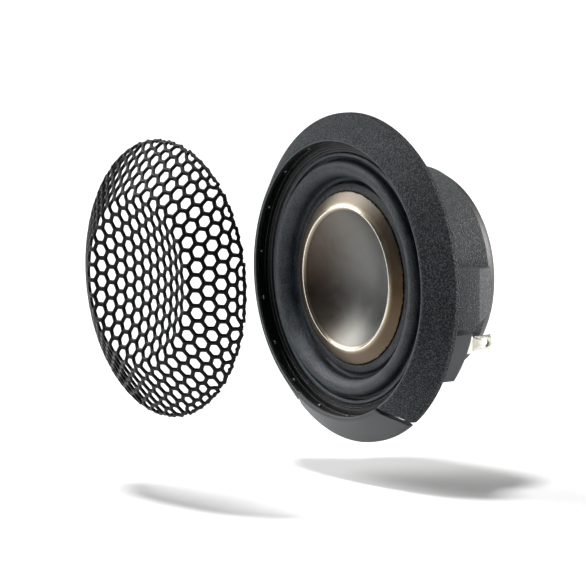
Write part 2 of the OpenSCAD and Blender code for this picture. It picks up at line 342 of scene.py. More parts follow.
def grained(name, dark, hill, rough, size, depth, sharp=0.06, gloss=0.45, lip=None):
    """Leather-like grain: the tops of the hills are paler and drier than the valleys, and the
    step between them is as sharp as asked. A thin band at the lip radius is painted pale as a
    highlight on the lip edge, and the wall inside it is painted black as shade in the recess."""
    m, nodes, links, shader, place = new_material(name, rough, Specular_IOR_Level=gloss)
    hills = noise(nodes, links, place, size, 1.5, 0.5, 0.3)
    pits = noise(nodes, links, place, size * 2.6, 1.0)
    tone = maths(nodes, links, "ADD", maths(nodes, links, "MULTIPLY", hills, 0.75),
                 maths(nodes, links, "MULTIPLY", pits, 0.25))
    middle = tuple(0.3 * (a + b) for a, b in zip(dark, hill))
    colour = ramp(nodes, links, tone, [(0.51 - sharp, dark), (0.51, middle), (0.51 + sharp, hill)])
    if lip:
        radius, _ = radius_of(nodes, links, place)
        # A thin pale band at the lip radius: a painted highlight on the edge of the lip.
        lip_highlight = spread(nodes, links, radius, lip, lip + 0.0001, 1.0, 0.0)
        colour = mixed(nodes, links, colour, (0.13, 0.15, 0.16, 1.0), lip_highlight, "MIX")
        # Inside the lip the wall is painted near black: painted shade in the recess.
        wall = spread(nodes, links, radius, lip - 0.00014, lip - 0.0001, 0.02, 1.0)
        colour = mixed(nodes, links, colour, wall)
    links.new(colour, shader.inputs["Base Color"])
    links.new(spread(nodes, links, tone, 0.4, 0.62, rough + 0.12, rough - 0.08), shader.inputs["Roughness"])
    bump(nodes, links, shader, tone, depth, 0.0005)
    return m


LIP_R = 24.46
grained_plastic = grained("grained_plastic", (0.001, 0.0014, 0.0018), (0.050, 0.064, 0.072), 0.42,
                          4000.0, 1.0, 0.045, 0.28, LIP_R * MM)
key_plastic = moulded("key_plastic", (0.040, 0.044, 0.046), (0.060, 0.065, 0.068), 0.5,
                      2600.0, 0.06, 7000.0, 0.10)
skirt_plastic = moulded("skirt_plastic", (0.050, 0.055, 0.058), (0.070, 0.076, 0.080), 0.55,
                        2600.0, 0.05, 7000.0, 0.12)
body_plastic = grained("body_plastic", (0.036, 0.041, 0.041), (0.112, 0.126, 0.126), 0.6,
                       3600.0, 0.4, 0.12)
lug_plastic = grained("lug_plastic", (0.036, 0.040, 0.043), (0.104, 0.117, 0.122), 0.6,
                      3600.0, 0.35, 0.12)


def seat_finish():
    """Black polished plastic with three thin pale turned lines at the steps of the seat: painted highlights
    on the step edges.
    """
    m, nodes, links, shader, place = new_material("seat_plastic", 0.26, Specular_IOR_Level=0.22)
    radius, _ = radius_of(nodes, links, place)
    zone = spread(nodes, links, radius, 0.022, 0.0245, 0.0, 1.0)
    # The pale colour of the three lines is a painted highlight where the step edges catch the light.
    black, glint_and_stain = (0.0015, 0.0017, 0.002), (0.055, 0.060, 0.064)
    lines = ramp(nodes, links, zone, [
        (0.0, black), (0.14, black), (0.17, glint_and_stain), (0.20, black), (0.30, black), (0.33, glint_and_stain),
        (0.36, black), (0.50, black), (0.53, glint_and_stain), (0.56, black)])
    links.new(lines, shader.inputs["Base Color"])
    bump(nodes, links, shader, noise(nodes, links, place, 4200.0, 2.0), 0.4, 0.0002)
    return m


seat_plastic = seat_finish()
bump_plastic = moulded("bump_plastic", (0.006, 0.0065, 0.007), (0.012, 0.013, 0.014), 0.2,
                       1500.0, 0.02, 5200.0, 0.05, Specular_IOR_Level=0.9)
cover_plastic = moulded("cover_plastic", (0.018, 0.015, 0.012), (0.036, 0.030, 0.024), 0.45,
                        2000.0, 0.10, 5200.0, 0.2)
print("moulded plastics made")

# %% [markdown]
# ## Trim ring and key
# The trim ring is a flared section turned round the axis, but it is open at the bottom where
# the key is let in. Both ends of the opening lie on slanting straight lines, so the angle where
# the section stops depends on its radius. Each profile point therefore gets its own start and
# end angle, and the grid runs evenly between them.

# %% Trim ring and key
TRIM = soften(
    [[24.3, -4.4], [24.3, -4.94], [24.95, -4.94], [29.1, -1.05], [29.1, 0.0],
     [27.6, 0.0], [27.6, -0.9], [25.7, -2.4], [25.7, -0.3], [24.6, -0.3], [24.6, -4.4]],
    [0.08, 0.2, 0.3, 0.28, 0.12, 0.1, 0.3, 0.3, 0.1, 0.1, 0.1])
SLOT_START = np.array([10.7, -21.8])
SLOT_END = np.array([22.0, -27.34])


def slot_angle(radius, shift):
    """Angle at which a circle of this radius crosses the slanting line of the slot, moved
    sideways by shift: the root of a quadratic in the distance along the line."""
    start = SLOT_START + np.array([shift, 0.0])
    way = (SLOT_END - SLOT_START) / np.linalg.norm(SLOT_END - SLOT_START)
    half = start @ way
    along = -half + np.sqrt(np.maximum(half * half - (start @ start - radius**2), 0.0))
    at = start[None, :] + along[:, None] * way[None, :]
    return np.arctan2(at[:, 1], at[:, 0])


def ring_sector(profile, first, last, turns):
    """Point (t, k): profile point k turned to an angle t of the way from first[k] to last[k]."""
    t = np.linspace(0, 1, turns)[:, None]
    a = first[None, :] + t * (last - first)[None, :]
    r, y = profile[None, :, 0], profile[None, :, 1]
    return np.stack([r * np.cos(a), y + 0 * a, r * np.sin(a)], -1)


def sector_piece(name, profile, first, last, turns, bevel=0.1, **how):
    """A ring sector with both ends closed by flat caps, and its cap edges rounded."""
    points = ring_sector(profile, first, last, turns)
    count = len(profile)
    faces = grid_faces(turns, count, False, True).tolist()
    faces += [list(range(count)), list(range((turns - 1) * count, turns * count))[::-1]]
    obj = piece(name, points, faces, **how)
    face_outwards(obj)
    round_edges(obj, bevel, 50)
    return obj


def round_edges(obj, width, angle=35, segments=3):
    """A bevel modifier that rounds edges sharper than the angle, width in mm."""
    b = obj.modifiers.new("rounding", "BEVEL")
    b.width, b.segments = width * MM, segments
    b.limit_method, b.angle_limit = "ANGLE", math.radians(angle)


right_end = slot_angle(TRIM[:, 0], 2.1)
left_end = math.pi - right_end
trim_ring = sector_piece("trim_ring", TRIM, right_end, left_end, 300, slot="grained_plastic",
                         replaces=("bezel_ring",))
put_on(trim_ring, grained_plastic)

key_right = slot_angle(TRIM[:, 0], 0.0)
key_left = -math.pi - key_right
name_plate = sector_piece("blank_key", TRIM, key_left, key_right, 80, slot="key_plastic",
                          replaces=("name_key",))
put_on(name_plate, key_plastic)

# %% [markdown]
# ## Twist-lock skirt
# Behind the trim ring, two smooth curved walls guide the driver into its hole. Each is a short
# sector of a thin ring, made the same way as the trim.

# %% Twist-lock skirt
SKIRT = soften([[24.7, -0.3], [25.2, -0.3], [25.2, 6.9], [23.4, 6.9], [23.4, 3.2], [24.7, 3.2]],
               [0.02, 0.02, 0.35, 0.2, 0.1, 0.1])
for side, (a0, a1) in {"right": (-42, -18.5), "left": (198.5, 222)}.items():
    ends = np.ones(len(SKIRT))
    wall = sector_piece(f"skirt_{side}", SKIRT, np.radians(a0) * ends, np.radians(a1) * ends, 24, 0.15,
                        slot="key_plastic", replaces=("lock_skirt",) if side == "right" else ())
    put_on(wall, skirt_plastic)

# %% [markdown]
# ## Grille seat
# The grille presses into a glossy recess. Its floor steps down towards the rubber, and
# eighteen small bumps round its wall hold the edge of the mesh. The recess is turned; each
# bump is a half ellipsoid on the wall, all of them worked out as one array.

# %% Grille seat
SEAT = soften([[24.25, -4.36], [24.5, -4.36], [24.5, -1.5], [22.3, -1.5], [22.22, -2.32],
               [22.72, -2.36], [22.8, -2.6], [23.1, -2.66], [23.2, -2.9], [24.25, -2.9]],
              [0.06, 0.06, 0.05, 0.05, 0.1, 0.06, 0.06, 0.08, 0.08, 0.15])
seat = turned_piece("grille_recess", SEAT, slot="seat_plastic", replaces=("grille_seat",))
put_on(seat, seat_plastic)


def wall_bumps(radius, depth, count, first, reach, height, steps=12):
    """Half ellipsoids that stand on a round wall: at angle a round the axis, a point is the
    wall point less the reach towards the axis times the sine of its latitude."""
    u = np.linspace(0, 2 * np.pi, steps, endpoint=False)[None, None, :]
    v = np.linspace(0, np.pi / 2, steps // 2)[None, :, None]
    a = np.radians(first + 360 / count * np.arange(count))[:, None, None]
    inward = radius - reach * np.sin(v) + 0 * u
    side, fore = height * np.cos(v) * np.cos(u), height * np.cos(v) * np.sin(u)
    b = a + side / radius
    return np.stack([inward * np.cos(b), depth + fore + 0 * a, inward * np.sin(b)], -1)


bumps = wall_bumps(24.3, -3.62, 18, 14.0, 0.3, 0.40)
n_bumps, rows, columns = bumps.shape[:3]
bump_faces = np.concatenate([grid_faces(rows, columns, False, True, k * rows * columns)
                             for k in range(n_bumps)])
seat_bumps = piece("recess_bumps", bumps, bump_faces, slot="seat_plastic")
face_outwards(seat_bumps)
put_on(seat_bumps, bump_plastic)

# %% [markdown]
# ## Surround
# The rubber surround is what lets the diaphragm move. From outside in, it has a bead held by
# the clamp ring, a deep groove, a half roll that bulges forward, a thin lip and a flat band
# that is glued to the metal. One closed profile carries all of it.

# %% Surround


def half_roll(inner, outer, inner_y, outer_y, rise, count, shrink=0.0):
    """Radius follows a cosine and depth a sine, over a line joining the two feet."""
    a = np.linspace(0, np.pi, count)
    t = (1 - np.cos(a)) / 2
    middle, half = (inner + outer) / 2, (outer - inner) / 2 - shrink
    return np.stack([middle - half * np.cos(a),
                     inner_y + (outer_y - inner_y) * t - (rise - shrink) * np.sin(a)], -1)


roll_front = half_roll(17.85, 20.85, -1.6, -2.3, 1.8, 29)
roll_back = half_roll(17.85, 20.85, -1.6, -2.3, 1.8, 29, 0.33)[::-1]
SURROUND = np.concatenate([
    [[15.38, -1.60], [15.46, -1.68], [16.0, -1.58], [16.5, -1.44], [16.66, -1.38], [16.76, -1.28],
     [16.86, -1.0], [17.0, -0.76], [17.2, -0.64], [17.45, -0.64], [17.66, -0.8], [17.8, -1.15]],
    roll_front,
    [[20.9, -1.9], [21.05, -1.82], [21.3, -1.82], [21.45, -1.9], [21.62, -2.0]],
    [[21.62, -1.72], [21.1, -1.52], [20.75, -1.52]],
    roll_back,
    [[17.98, -0.7], [17.75, -0.42], [17.5, -0.3], [17.15, -0.3], [16.8, -0.45], [16.58, -0.8],
     [16.45, -1.05], [16.3, -1.12], [15.46, -1.32], [15.38, -1.36]],
])
surround = turned_piece("rubber_surround", SURROUND, body=None, slot="surround_rubber",
                        replaces=("surround",))

CLAMP = soften([[21.5, -1.98], [21.5, -2.6], [22.16, -2.6], [22.16, -1.98]], 0.22)
clamp = turned_piece("clamp_bead", CLAMP, slot="seat_plastic", replaces=("clamp_ring",))


def rubber(name, dark, light, rough, glue=0.0):
    """Matte rubber with a fine skin: paler dust lies on the hills of the skin. Inside the glue
    radius in metres, which a noise makes ragged, it is stained black."""
    m, nodes, links, shader, place = new_material(name, rough, Specular_IOR_Level=0.5)
    bloom = noise(nodes, links, place, 260.0, 4.0, 0.6)
    skin = noise(nodes, links, place, 3400.0, 3.0, 0.6)
    tone = maths(nodes, links, "ADD", maths(nodes, links, "MULTIPLY", bloom, 0.4),
                 maths(nodes, links, "MULTIPLY", skin, 0.6))
    colour = ramp(nodes, links, tone, [(0.42, dark), (0.60, light)])
    radius, _ = radius_of(nodes, links, place)
    wander = spread(nodes, links, noise(nodes, links, place, 2600.0, 2.0), 0.3, 0.7, -0.0003, 0.0003)
    ragged = maths(nodes, links, "ADD", radius, wander)
    stained = spread(nodes, links, ragged, glue, glue + 0.00005, 0.02, 1.0)
    links.new(mixed(nodes, links, colour, stained), shader.inputs["Base Color"])
    links.new(spread(nodes, links, skin, 0.3, 0.7, rough - 0.08, rough + 0.08), shader.inputs["Roughness"])
    bump(nodes, links, shader, skin, 0.8, 0.00025)
    return m


GLUE_R = 15.74
surround_rubber = rubber("surround_rubber", (0.004, 0.0066, 0.0092), (0.030, 0.044, 0.058), 0.36,
                         GLUE_R * MM)
put_on(surround, surround_rubber)
# The clamp bead gets a paler copy of the surround rubber; the extra paleness is painted light that the
# rounded bead catches.
put_on(clamp, rubber("clamp_rubber_painted_lit", (0.045, 0.060, 0.072), (0.095, 0.118, 0.135), 0.36))

# %% [markdown]
# ## Diaphragm
# The diaphragm is one thin metal pressing in the shape of an M: a sloping band rises from the
# glued edge to a bright crest over the voice coil, and a bowl sinks behind it. The bowl is a
# part of a sphere, and the crest is a tight curve that joins the two.

# %% Diaphragm
CREST_R, CREST_Y, BOWL_DEPTH, DOME_R, EDGE_Y = 12.62, -3.06, 4.16, 15.35, -1.7
bowl_edge = CREST_R - 0.22
bowl_R = (bowl_edge**2 + BOWL_DEPTH**2) / (2 * BOWL_DEPTH)
bowl_half = math.degrees(math.asin(bowl_edge / bowl_R))
bowl = arc_profile((0.0, CREST_Y + 0.1 + BOWL_DEPTH - bowl_R), bowl_R, 90, 90 - bowl_half, 40)
crest = np.array([CREST_R, CREST_Y]) + [[-0.14, 0.035], [-0.05, 0.006], [0.02, 0.0], [0.09, 0.014],
                                        [0.16, 0.06]]
band = np.linspace([CREST_R + 0.4, CREST_Y + 0.2], [DOME_R - 0.1, EDGE_Y - 0.06], 10)
front = np.concatenate([bowl, crest, band, [[DOME_R, EDGE_Y]]])
back = np.concatenate([[[DOME_R, EDGE_Y + 0.22]], band[::-1] + [0, 0.2], [[CREST_R, CREST_Y + 0.3]],
                       bowl[::-1] + [0, 0.22]])
front[0, 0] = back[-1, 0] = 0.0
FINISH_R = 15.8
dome = turned_piece("metal_diaphragm", np.concatenate([front, back]), closed=False, body="diaphragm",
                    slot="dome_metal", replaces=("dome",))


def dome_finish():
    """Satin metal, tinted by heat, with a ragged black line of glue at the edge, stains and dust.
    The near-white line along the crest is a painted highlight. The band is straw and brown, and
    its change with height, palest at the top, is painted light. The bowl goes from brown on the
    left to grey on the right, and its darker left side is painted shade."""
    m, nodes, links, shader, place = new_material("dome_metal", 0.33, 1.0)
    edge = FINISH_R * MM
    radius, split = radius_of(nodes, links, place)
    stain = noise(nodes, links, place, 160.0, 5.0, 0.6, 0.6)
    fleck = noise(nodes, links, place, 2600.0, 4.0, 0.7)
    across = maths(nodes, links, "ADD", split.outputs["X"], maths(nodes, links, "MULTIPLY", stain, 0.006))
    # Across X the bowl runs from dark brown on the left to grey on the right: the darker left side is
    # painted shade.
    bowl_tint_and_shade = ramp(nodes, links, spread(nodes, links, across, -0.010, 0.012, 0.0, 1.0),
                     [(0.0, (0.095, 0.072, 0.058)), (0.45, (0.150, 0.148, 0.143)),
                      (1.0, (0.160, 0.176, 0.178))])
    wander = spread(nodes, links, noise(nodes, links, place, 1500.0, 2.0), 0.3, 0.7, -0.00012, 0.00012)
    zone = spread(nodes, links, maths(nodes, links, "ADD", radius, wander), 0.0, edge, 0.0, 1.0)
    plain_zone = spread(nodes, links, radius, 0.0, edge, 0.0, 1.0)
    # The near-white ring at the crest, between darker brown, is a painted highlight along the crest.
    rings_with_crest_highlight = ramp(nodes, links, plain_zone, [
        (0.0, (1.0, 1.0, 1.0)), (0.74, (1.0, 0.96, 0.90)), (0.783, (0.70, 0.58, 0.40)),
        (0.795, (1.0, 0.97, 0.88)), (0.806, (1.0, 0.96, 0.85)), (0.815, (0.46, 0.40, 0.30)),
        (0.86, (0.25, 0.22, 0.19)), (1.0, (0.24, 0.21, 0.175))])
    on_band = spread(nodes, links, plain_zone, 0.815, 0.84, 0.0, 1.0)
    height = maths(nodes, links, "ADD", split.outputs["Z"], maths(nodes, links, "MULTIPLY", stain, 0.008))
    # The band's tone changes with height, palest at the top and darkest brown at mid height: painted light
    # over the tint.
    band_tint_and_light = ramp(nodes, links, spread(nodes, links, height, -0.010, 0.018, 0.0, 1.0),
                     [(0.0, (0.64, 0.57, 0.49)), (0.5, (0.46, 0.35, 0.22)), (1.0, (0.80, 0.79, 0.76))])
    in_bowl = spread(nodes, links, plain_zone, 0.76, 0.80, 1.0, 0.0)
    glued = ramp(nodes, links, zone, [(0.958, (1, 1, 1)), (0.964, (0.015, 0.013, 0.012))])
    glint_and_stain = ramp(nodes, links, stain, [(0.3, (0.66, 0.62, 0.58)), (0.65, (1.0, 1.0, 1.0))])
    colour = rings_with_crest_highlight
    for factor, tint in ((in_bowl, bowl_tint_and_shade), (on_band, band_tint_and_light), (1.0, glued), (0.5, glint_and_stain)):
        colour = mixed(nodes, links, colour, tint, factor)
    links.new(colour, shader.inputs["Base Color"])
    polish = ramp(nodes, links, plain_zone, [(0.76, (1, 1, 1)), (0.79, (0.6, 0.6, 0.6)),
                                             (0.81, (0.6, 0.6, 0.6)), (0.84, (1, 1, 1))])
    links.new(maths(nodes, links, "MULTIPLY", spread(nodes, links, stain, 0.3, 0.7, 0.35, 0.47), polish),
              shader.inputs["Roughness"])
    bump(nodes, links, shader, fleck, 0.12, 0.0001)
    return m


put_on(dome, dome_finish())

# %% [markdown]
# ## Rear body
# Behind the panel a barrel holds the magnet, and a rounded dark cover closes it. Both are
# turned. On each side the barrel carries a flat-faced block; its rear corner is cut off at an
# angle and its lower rear corner at another, so it is made from its outline seen from the side,
# carried out along X, and then trimmed by lowering the points behind the cut.

# %% Barrel and cover
BARREL = soften([[21.85, 0.0], [24.4, 0.0], [24.4, 3.0], [18.8, 3.0], [18.8, 14.4], [17.5, 14.4],
                 [17.5, 1.5], [21.85, 1.5]], [0.1, 0.2, 0.3, 0.4, 0.12, 0.1, 0.1, 0.1])
barrel = turned_piece("barrel", BARREL, slot="body_plastic", replaces=("rear_housing",))
put_on(barrel, body_plastic)

COVER = soften([[0.0, 17.2], [16.4, 17.2], [17.3, 16.75], [17.95, 15.9], [18.55, 14.42], [17.4, 14.42],
                [17.4, 13.6], [16.9, 13.6], [16.8, 15.2], [15.9, 16.0], [0.0, 16.0]],
               [0, 0.5, 0.5, 0.5, 0.06, 0.05, 0.1, 0.1, 0.2, 0.3, 0], closed=False)
cover = turned_piece("back_cover", COVER, closed=False, slot="cover_plastic", replaces=("rear_cover",))
put_on(cover, cover_plastic)


def block_mesh(name, sign):
    """Eight outline points: the five corners, with the cut line added where the flat face
    stops. The flat face is at full width up to the cut, and the corner face slopes from there
    to the barrel's end."""
    cut, face_x, end_x = 10.3, 21.35, 19.05
    top = np.interp(cut, (2.9, 14.35), (3.25, 2.75))
    low = np.interp(cut, (9.3, 14.75), (-7.15, -5.1))
    ring = [(2.9, 3.25), (cut, top), (14.35, 2.75), (14.75, -5.1), (cut, low), (9.3, -7.15), (2.9, -7.15)]
    outer_x = [face_x, face_x, end_x + 0.2, end_x, face_x, face_x, face_x]
    points = [(sign * 17.9, y, z) for y, z in ring]
    points += [(sign * x, y, z) for x, (y, z) in zip(outer_x, ring)]
    n = len(ring)
    faces = [[i, (i + 1) % n, n + (i + 1) % n, n + i] for i in range(n)]
    faces += [list(range(n)), [n, n + 1, n + 4, n + 5, n + 6], [n + 1, n + 2, n + 3, n + 4]]
    obj = piece(name, points, faces, slot="body_plastic")
    face_outwards(obj)
    round_edges(obj, 0.22, 12, 3)
    put_on(obj, lug_plastic)


for side, sign in (("right", 1), ("left", -1)):
    block_mesh(f"block_{side}", sign)

# %% [markdown]
# ## Terminals
# Two tin-plated blades stand beside the barrel. A blade is a flat strip with a rounded tip and a
# small hole, so its face is a grid between the outline and the hole, joined round both edges.
# Its taller root bends into a foot, which is riveted to the board on the back of the flange.

# %% Terminals


def blade(name, sign, node):
    """Rings of points at the same angles round the hole: the outline of the blade and the rim
    of the hole, on both faces, joined into one closed surface. The outline is where a ray from
    the hole meets a rectangle whose corners at the tip are rounded off."""
    rays = 96
    a = np.linspace(0, 2 * np.pi, rays, endpoint=False)
    hole_y, hole_z, hole_r = 14.9, -10.85, 0.6
    low_y, high_y, half_z, tip = 11.9, 16.6, 1.3, 0.6
    dy, dz = np.cos(a), np.sin(a)
    far_y = np.where(dy > 0, high_y - hole_y, hole_y - low_y)
    reach = np.minimum(far_y / np.maximum(np.abs(dy), 1e-9), half_z / np.maximum(np.abs(dz), 1e-9))
    y, z = hole_y + reach * dy, reach * dz
    over_y, over_z = np.maximum(y - high_y + tip, 0), np.maximum(np.abs(z) - half_z + tip, 0)
    pull = np.minimum(tip / np.maximum(np.hypot(over_y, over_z), 1e-9), 1.0)
    at_corner = (over_y > 0) & (over_z > 0) & (pull < 1)
    y = np.where(at_corner, high_y - tip + over_y * pull, y)
    z = np.where(at_corner, np.sign(z) * (half_z - tip + over_z * pull), z) + hole_z
    outer = np.stack([y, z], -1)
    rim = np.stack([hole_y + hole_r * dy, hole_z + hole_r * dz], -1)
    inset = outer + (np.array([hole_y, hole_z]) - outer) * 0.04
    lip = rim + (outer - rim) * 0.06
    loops = [(outer, 0.17), (inset, 0.25), (lip, 0.25), (rim, 0.2), (rim, -0.2), (lip, -0.25),
             (inset, -0.25), (outer, -0.17)]
    points = np.stack([np.concatenate([np.full((rays, 1), sign * 17.0 + x), p], 1) for p, x in loops])
    faces = grid_faces(len(loops), rays, True, True)
    obj = piece(name, points, faces, slot="tinned_brass", replaces=(node,))
    face_outwards(obj)
    return obj


def bent_root(name, sign):
    """The taller root of the blade and the foot it is bent into: a flat strip carried along the
    path from the free end, down to the board and inwards along it."""
    outer_x, inner_x, high = 17.25, 16.75, -9.55
    lower_edge = [(11.95, -12.6), (5.6, -12.6), (5.1, -14.8), (4.75, -14.8), (4.25, -14.8)]
    rows = [[(outer_x, y, high), (outer_x, y, low), (inner_x, y, low), (inner_x, y, high)]
            for y, low in lower_edge]
    points = np.array(rows) * [sign, 1, 1]
    faces = grid_faces(5, 4, False, True).tolist() + [[0, 1, 2, 3], [16, 17, 18, 19]]
    root = piece(name + "_root", points, faces, slot="tinned_brass")
    foot_points = np.array([(x, y, z) for y in (4.25, 4.75) for x, z in
                            ((14.4, -14.8), (17.0, -14.8), (17.0, -12.4), (14.4, -12.4))]) * [sign, 1, 1]
    foot_faces = grid_faces(2, 4, False, True).tolist() + [[0, 1, 2, 3], [4, 5, 6, 7]]
    foot = piece(name + "_foot", foot_points, foot_faces, slot="tinned_brass")
    for obj in (root, foot):
        face_outwards(obj)
        round_edges(obj, 0.08, 40, 2)
    return root, foot


def tin():
    m, nodes, links, shader, place = new_material("tin_plate", 0.34, 1.0)
    cloud = noise(nodes, links, place, 700.0, 4.0, 0.6)
    scratch = noise(nodes, links, place, 5200.0, 2.0, 0.5, 1.5)
    links.new(ramp(nodes, links, cloud, [(0.3, (0.72, 0.69, 0.60)), (0.7, (0.90, 0.88, 0.80))]),
              shader.inputs["Base Color"])
    links.new(spread(nodes, links, cloud, 0.3, 0.7, 0.28, 0.42), shader.inputs["Roughness"])
    bump(nodes, links, shader, scratch, 0.15, 0.00005)
    return m


tin_plate = tin()
for side, sign, node in (("right", 1, "terminal_positive"), ("left", -1, "terminal_negative")):
    put_on(blade(f"blade_{side}", sign, node), tin_plate)
    for part in bent_root(f"blade_{side}", sign):
        put_on(part, tin_plate)

# %% [markdown]
# ## Grille
# Expanded metal is a net of rounded strands round six-sided cells. The net is first laid out
# flat. Round each cell, a strand's half section goes from the middle of its front, over the
# edge of the hole, to the middle of its back, so every cell is a grid of two parameters: the
# way round, and the way over the strand. Neighbouring cells share the strand's middle line.
# The flat net is then pressed: its distance from the centre becomes the length along a curved
# profile, with a shallow dish in the middle, a tight fold, and a sloping wall.

# %% Pressed profile
PITCH, STRAND, THICK = 2.72, 0.80, 0.58
FOLD_R, GRILLE_R, FOLD_BEND = 14.4, 23.95, 0.8
LIFT = 3.1
RIM_Y = float(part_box("grille_mesh")[1][1]) / MM - 0.3
DISH_SLOPE, WALL_SLOPE = 17.0, 32.5

s_line = np.linspace(0, 30, 3001)
step = s_line[1] - s_line[0]
fold_s = FOLD_R * 1.02
slope = np.where(s_line < fold_s - FOLD_BEND, -DISH_SLOPE * s_line / fold_s, 0.0)
slope = np.where(s_line > fold_s + FOLD_BEND, WALL_SLOPE, slope)
bend = np.clip((s_line - fold_s + FOLD_BEND) / (2 * FOLD_BEND), 0, 1)
inside = np.abs(s_line - fold_s) <= FOLD_BEND
slope = np.where(inside, -DISH_SLOPE + (DISH_SLOPE + WALL_SLOPE) * bend, slope)
r_line = np.concatenate([[0], np.cumsum(np.cos(np.radians(slope[:-1])) * step)])
y_line = np.concatenate([[0], np.cumsum(np.sin(np.radians(slope[:-1])) * step)])
RIM_S = float(np.interp(GRILLE_R, r_line, s_line))
y_line += RIM_Y - np.interp(RIM_S, s_line, y_line)
print(f"grille: rim at {RIM_Y:.2f} mm, fold at {y_line[np.abs(s_line - fold_s).argmin()]:.2f} mm, "
      f"centre at {y_line[0]:.2f} mm, length {RIM_S:.2f} mm")


def press(u, v, height):
    """A flat point (u, v) at a height over the sheet goes to the same direction on the pressed
    profile, at that length along it, and out along the profile's normal by the height."""
    s = np.sqrt(u * u + v * v)
    r, y = np.interp(s, s_line, r_line), np.interp(s, s_line, y_line)
    lean = np.radians(np.interp(s, s_line, slope))
    r, y = r + height * np.sin(lean), y - height * np.cos(lean)
    k = np.where(s > 1e-9, 1 / np.maximum(s, 1e-9), 0)
    return np.stack([r * u * k, y, LIFT + r * v * k], -1)


# %% [markdown]
# The cells stand in columns, and every second column is half a pitch higher. The outermost
# cells are squeezed a little towards the centre, so that the net ends on a clean circle.

# %% Cells of the net
COLUMN = PITCH * math.sqrt(3) / 2
i, j = np.meshgrid(np.arange(-14, 15), np.arange(-12, 13), indexing="ij")
centre_u = (i * COLUMN).ravel()
centre_v = ((j + 0.5 * (i % 2)) * PITCH).ravel()


def kept(u, v):
    """A cell is kept while its centre is inside the cut edge, or only just outside it."""
    return np.hypot(u, v) < RIM_S + 0.2 * PITCH


def outline(angles):
    """Distance from the centre to the edge of the kept cells: the last of many steps along each
    ray whose nearest cell is a kept one, averaged over a few neighbouring rays."""
    steps = np.linspace(RIM_S - PITCH, RIM_S + PITCH, 400)[None, :]
    u, v = steps * np.cos(angles)[:, None], steps * np.sin(angles)[:, None]
    best = np.full(u.shape, np.inf)
    found = np.zeros(u.shape, bool)
    for di in (0, 1):
        column = np.floor(u / COLUMN) + di
        row = np.rint(v / PITCH - 0.5 * (column % 2)) + 0.5 * (column % 2)
        away = np.hypot(u - column * COLUMN, v - row * PITCH)
        found = np.where(away < best, kept(column * COLUMN, row * PITCH), found)
        best = np.minimum(best, away)
    last = steps[0][found.shape[1] - 1 - np.argmax(found[:, ::-1], axis=1)]
    return sum(np.roll(last, shift) for shift in range(-8, 9)) / 17


GATHER = RIM_S - 1.7 * PITCH
ray = np.linspace(-np.pi, np.pi, 1440, endpoint=False)
ray_end = outline(ray)


def gathered(u, v):
    """The last rows are squeezed when the edge is cut and pressed: beyond a first radius, the
    distance from the centre follows a parabola that starts level with it and ends at the rim."""
    s, end = np.hypot(u, v), np.interp(np.arctan2(v, u), ray, ray_end, period=2 * np.pi)
    t = np.clip((s - GATHER) / (end - GATHER), 0, None)
    rim = RIM_S - STRAND / 2 - GATHER
    start = np.minimum((end - GATHER) / rim, 1.7)
    k = np.where(s > GATHER, (GATHER + rim * (start * t + (1 - start) * t * t)) / np.maximum(s, 1e-9), 1.0)
    return u * k, v * k


use = kept(centre_u, centre_v)
centre_u, centre_v = centre_u[use], centre_v[use]
SIDES = np.radians(60 * np.arange(6))
CORNER = PITCH / math.sqrt(3)
corner_u, corner_v = CORNER * np.cos(SIDES), CORNER * np.sin(SIDES)

PER_SIDE, OVER = 4, 7
w = np.linspace(0, 1, PER_SIDE, endpoint=False)[None, :]
side_u = (corner_u[:, None] * (1 - w) + np.roll(corner_u, -1)[:, None] * w).ravel()
side_v = (corner_v[:, None] * (1 - w) + np.roll(corner_v, -1)[:, None] * w).ravel()
turn = np.linspace(0, np.pi, OVER)[None, None, :]
apothem = PITCH / 2
side_reach = np.hypot(side_u, side_v)
hole_reach = np.minimum(side_reach / apothem * (apothem - STRAND / 2), (apothem - STRAND / 2) * 1.10)
inset = (side_reach - hole_reach)[None, :]
mid_u, mid_v = gathered(centre_u, centre_v)
rim_u, rim_v = gathered(centre_u[:, None] + side_u[None, :], centre_v[:, None] + side_v[None, :])
way_u, way_v = mid_u[:, None] - rim_u, mid_v[:, None] - rim_v
room = np.hypot(way_u, way_v)
part_way = (np.minimum(inset, 0.62 * room) / room)[:, :, None]
cell_u = rim_u[:, :, None] + way_u[:, :, None] * part_way * np.sin(turn)
cell_v = rim_v[:, :, None] + way_v[:, :, None] * part_way * np.sin(turn)
cell_h = THICK / 2 * np.cos(turn) + 0 * cell_u
net = press(cell_u, cell_v, cell_h)
cells_kept, around_count = net.shape[0], net.shape[1]
net_faces = [grid_faces(around_count, OVER, True, False, k * around_count * OVER)
             for k in range(cells_kept)]
print(cells_kept, "cells in the net")

# %% [markdown]
# The outer strands of the net belong to one cell only, so half of their section is missing.
# A second grid adds it along each such side, leaning the same way as its neighbour at each
# corner so that no gap opens. Where the blade cut a strand off, a short stub is left.

# %% Cut edge
side_middle = np.radians(60 * np.arange(6) + 30)
near_u = centre_u[:, None] + PITCH * np.cos(side_middle)[None, :]
near_v = centre_v[:, None] + PITCH * np.sin(side_middle)[None, :]
cell_id, side_id = np.nonzero(~kept(near_u, near_v))


def corner_lean(u, v):
    """Outward direction at a corner: away from every kept cell that touches it."""
    lean_u, lean_v, touching = np.zeros_like(u), np.zeros_like(v), np.zeros(u.shape, int)
    for k in range(12):
        a = math.radians(30 * k)
        pu, pv = u + CORNER * math.cos(a), v + CORNER * math.sin(a)
        fi = np.rint(pu / COLUMN)
        fj = np.rint(pv / PITCH - 0.5 * (fi % 2))
        on = (np.abs(fi * COLUMN - pu) < 0.02) & (np.abs((fj + 0.5 * (fi % 2)) * PITCH - pv) < 0.02)
        on &= kept(pu, pv)
        lean_u -= on * math.cos(a)
        lean_v -= on * math.sin(a)
        touching += on
    size = np.sqrt(lean_u**2 + lean_v**2)
    return lean_u / size, lean_v / size, touching


